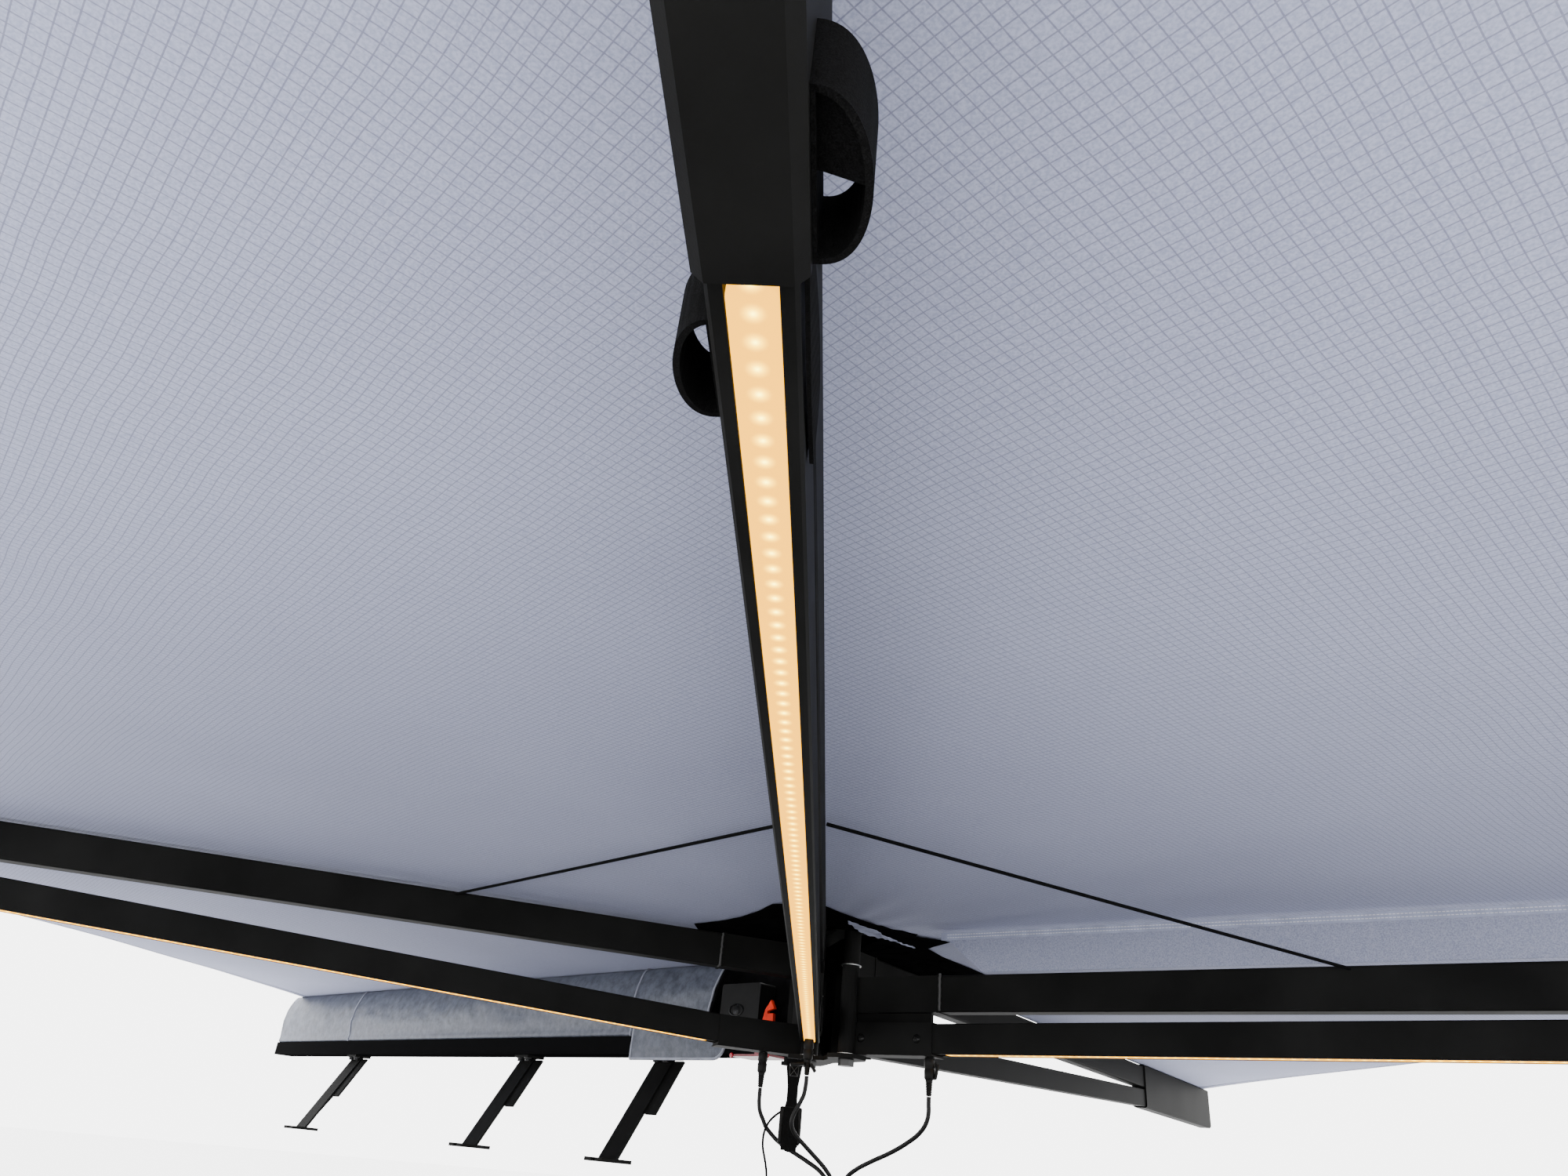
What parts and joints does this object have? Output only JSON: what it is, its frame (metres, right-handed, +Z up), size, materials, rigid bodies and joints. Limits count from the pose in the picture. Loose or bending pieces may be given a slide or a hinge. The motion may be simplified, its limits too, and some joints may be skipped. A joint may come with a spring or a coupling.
{
  "type": "vehicle side awning",
  "caption": "Wrap-round vehicle side awning: arms swing out from a hub on a rail with mounting legs and carry a cloth canopy, light strips and leads; latch, cover bag and tether included",
  "frame": {"origin": "middle of the underside of the foot of mounting leg 1, the leg nearest the hub, at (0, 0, 0)", "axes": "+X along the rail towards the hub and the vehicle's rear, -Y out from the vehicle's side, +Z up"},
  "size_m": [4.3853, 3.9443, 0.5667],
  "materials": {
    "powder_black": "satin black powder coat on steel and aluminium",
    "rail_black": "black anodised extrusion",
    "steel": "zinc-plated",
    "black_plastic": "fine moulded grain",
    "orange_plastic": "moulded, smooth",
    "red_metal": "dark red anodised",
    "canopy_cloth": "ripstop weave, fine diamond grid",
    "cover_cloth": "mottled coated cloth",
    "black_cloth": "black webbing, elastic and lining cloth",
    "light_diffuser": "milky cover over a row of light points",
    "lead_rubber": "matt cable jacket"
  },
  "bodies": {
    "mount": {"hub_bottom_plate": "powder_black", "hub_top_plate": "powder_black", "hub_spine": "powder_black", "pivot_pin_inner": "steel", "pivot_pin_outer": "steel", "washer_inner_low": "steel", "washer_inner_middle": "steel", "washer_outer_low": "steel", "washer_outer_middle": "steel", "back_rail": "rail_black", "rail_end_cap": "black_plastic", "mounting_leg_1": "powder_black", "mounting_leg_2": "powder_black", "mounting_leg_3": "powder_black", "cover_bag": "cover_cloth", "cover_end_flap": "cover_cloth", "control_box": "black_plastic", "latch_base": "red_metal", "hub_cover": "black_cloth", "hanging_strap": "black_cloth", "buckle_frame": "black_plastic", "light_lead_1": "lead_rubber", "light_lead_2": "lead_rubber", "light_lead_3": "lead_rubber", "lead_splitter": "black_plastic", "power_lead_coil": "lead_rubber", "power_plug": "black_plastic"},
    "arm_1": {"arm_1_knuckle": "powder_black", "arm_1_upper_beam": "powder_black", "arm_1_lower_beam": "powder_black", "arm_1_end_sleeve": "powder_black", "arm_1_light_strip": "light_diffuser", "light_plug_1": "black_plastic", "canopy_panel_1": "canopy_cloth"},
    "arm_2": {"arm_2_knuckle": "powder_black", "arm_2_upper_beam": "powder_black", "arm_2_lower_beam": "powder_black", "arm_2_end_sleeve": "powder_black", "arm_2_light_strip": "light_diffuser", "light_plug_2": "black_plastic", "canopy_panel_2": "canopy_cloth", "shock_cord_left": "black_cloth", "shock_cord_right": "black_cloth", "strap_loop_sleeve": "black_cloth", "strap_loop_beam": "black_cloth"},
    "arm_3": {"arm_3_knuckle": "powder_black", "arm_3_upper_beam": "powder_black", "arm_3_lower_beam": "powder_black", "arm_3_end_sleeve": "powder_black", "arm_3_light_strip": "light_diffuser", "light_plug_3": "black_plastic", "canopy_panel_3": "canopy_cloth"},
    "arm_4": {"arm_4_knuckle": "powder_black", "arm_4_upper_beam": "powder_black", "arm_4_lower_beam": "powder_black", "arm_4_end_sleeve": "powder_black", "canopy_panel_4": "canopy_cloth"},
    "latch_lever": {"latch_lever": "orange_plastic"},
    "push_button": {"push_button": "orange_plastic"},
    "buckle_cam": {"buckle_cam": "black_plastic"}
  },
  "joints": [
    {"name": "arm_4_swing", "type": "hinge", "parent": "mount", "child": "arm_4", "pos_m": [0.542, -0.01, 0.26], "axis": [0, 0, 1], "range_deg": [-280, 0], "deforming": ["canopy_panel_4"]},
    {"name": "arm_3_swing", "type": "hinge", "parent": "mount", "child": "arm_3", "pos_m": [0.542, -0.01, 0.23], "axis": [0, 0, 1], "range_deg": [-188, 0], "deforming": ["canopy_panel_3", "light_lead_3"]},
    {"name": "arm_2_swing", "type": "hinge", "parent": "mount", "child": "arm_2", "pos_m": [0.45, 0.008, 0.215], "axis": [0, 0, 1], "range_deg": [-132, 0], "deforming": ["canopy_panel_2", "shock_cord_left", "shock_cord_right", "light_lead_2"]},
    {"name": "arm_1_swing", "type": "hinge", "parent": "mount", "child": "arm_1", "pos_m": [0.45, 0.008, 0.304], "axis": [0, 0, 1], "range_deg": [-62, 0], "deforming": ["canopy_panel_1", "light_lead_1"]},
    {"name": "latch_lever_tilt", "type": "hinge", "parent": "mount", "child": "latch_lever", "pos_m": [0.283, 0.078, 0.222], "axis": [1, 0, 0], "range_deg": [-60, 0]},
    {"name": "push_button_press", "type": "slide", "parent": "mount", "child": "push_button", "axis": [0, 1, 0], "range_m": [0, 0.0025], "stiffness_N_per_m": 400},
    {"name": "buckle_cam_lift", "type": "hinge", "parent": "mount", "child": "buckle_cam", "pos_m": [0.445, -0.017, 0.0894], "axis": [0.7071, 0.7071, 0], "range_deg": [0, 70]}
  ],
  "couplings": [
    {"joint": "arm_3_swing", "follows": "arm_4_swing", "ratio": 0.67143},
    {"joint": "arm_2_swing", "follows": "arm_4_swing", "ratio": 0.47143},
    {"joint": "arm_1_swing", "follows": "arm_4_swing", "ratio": 0.22143}
  ]
}
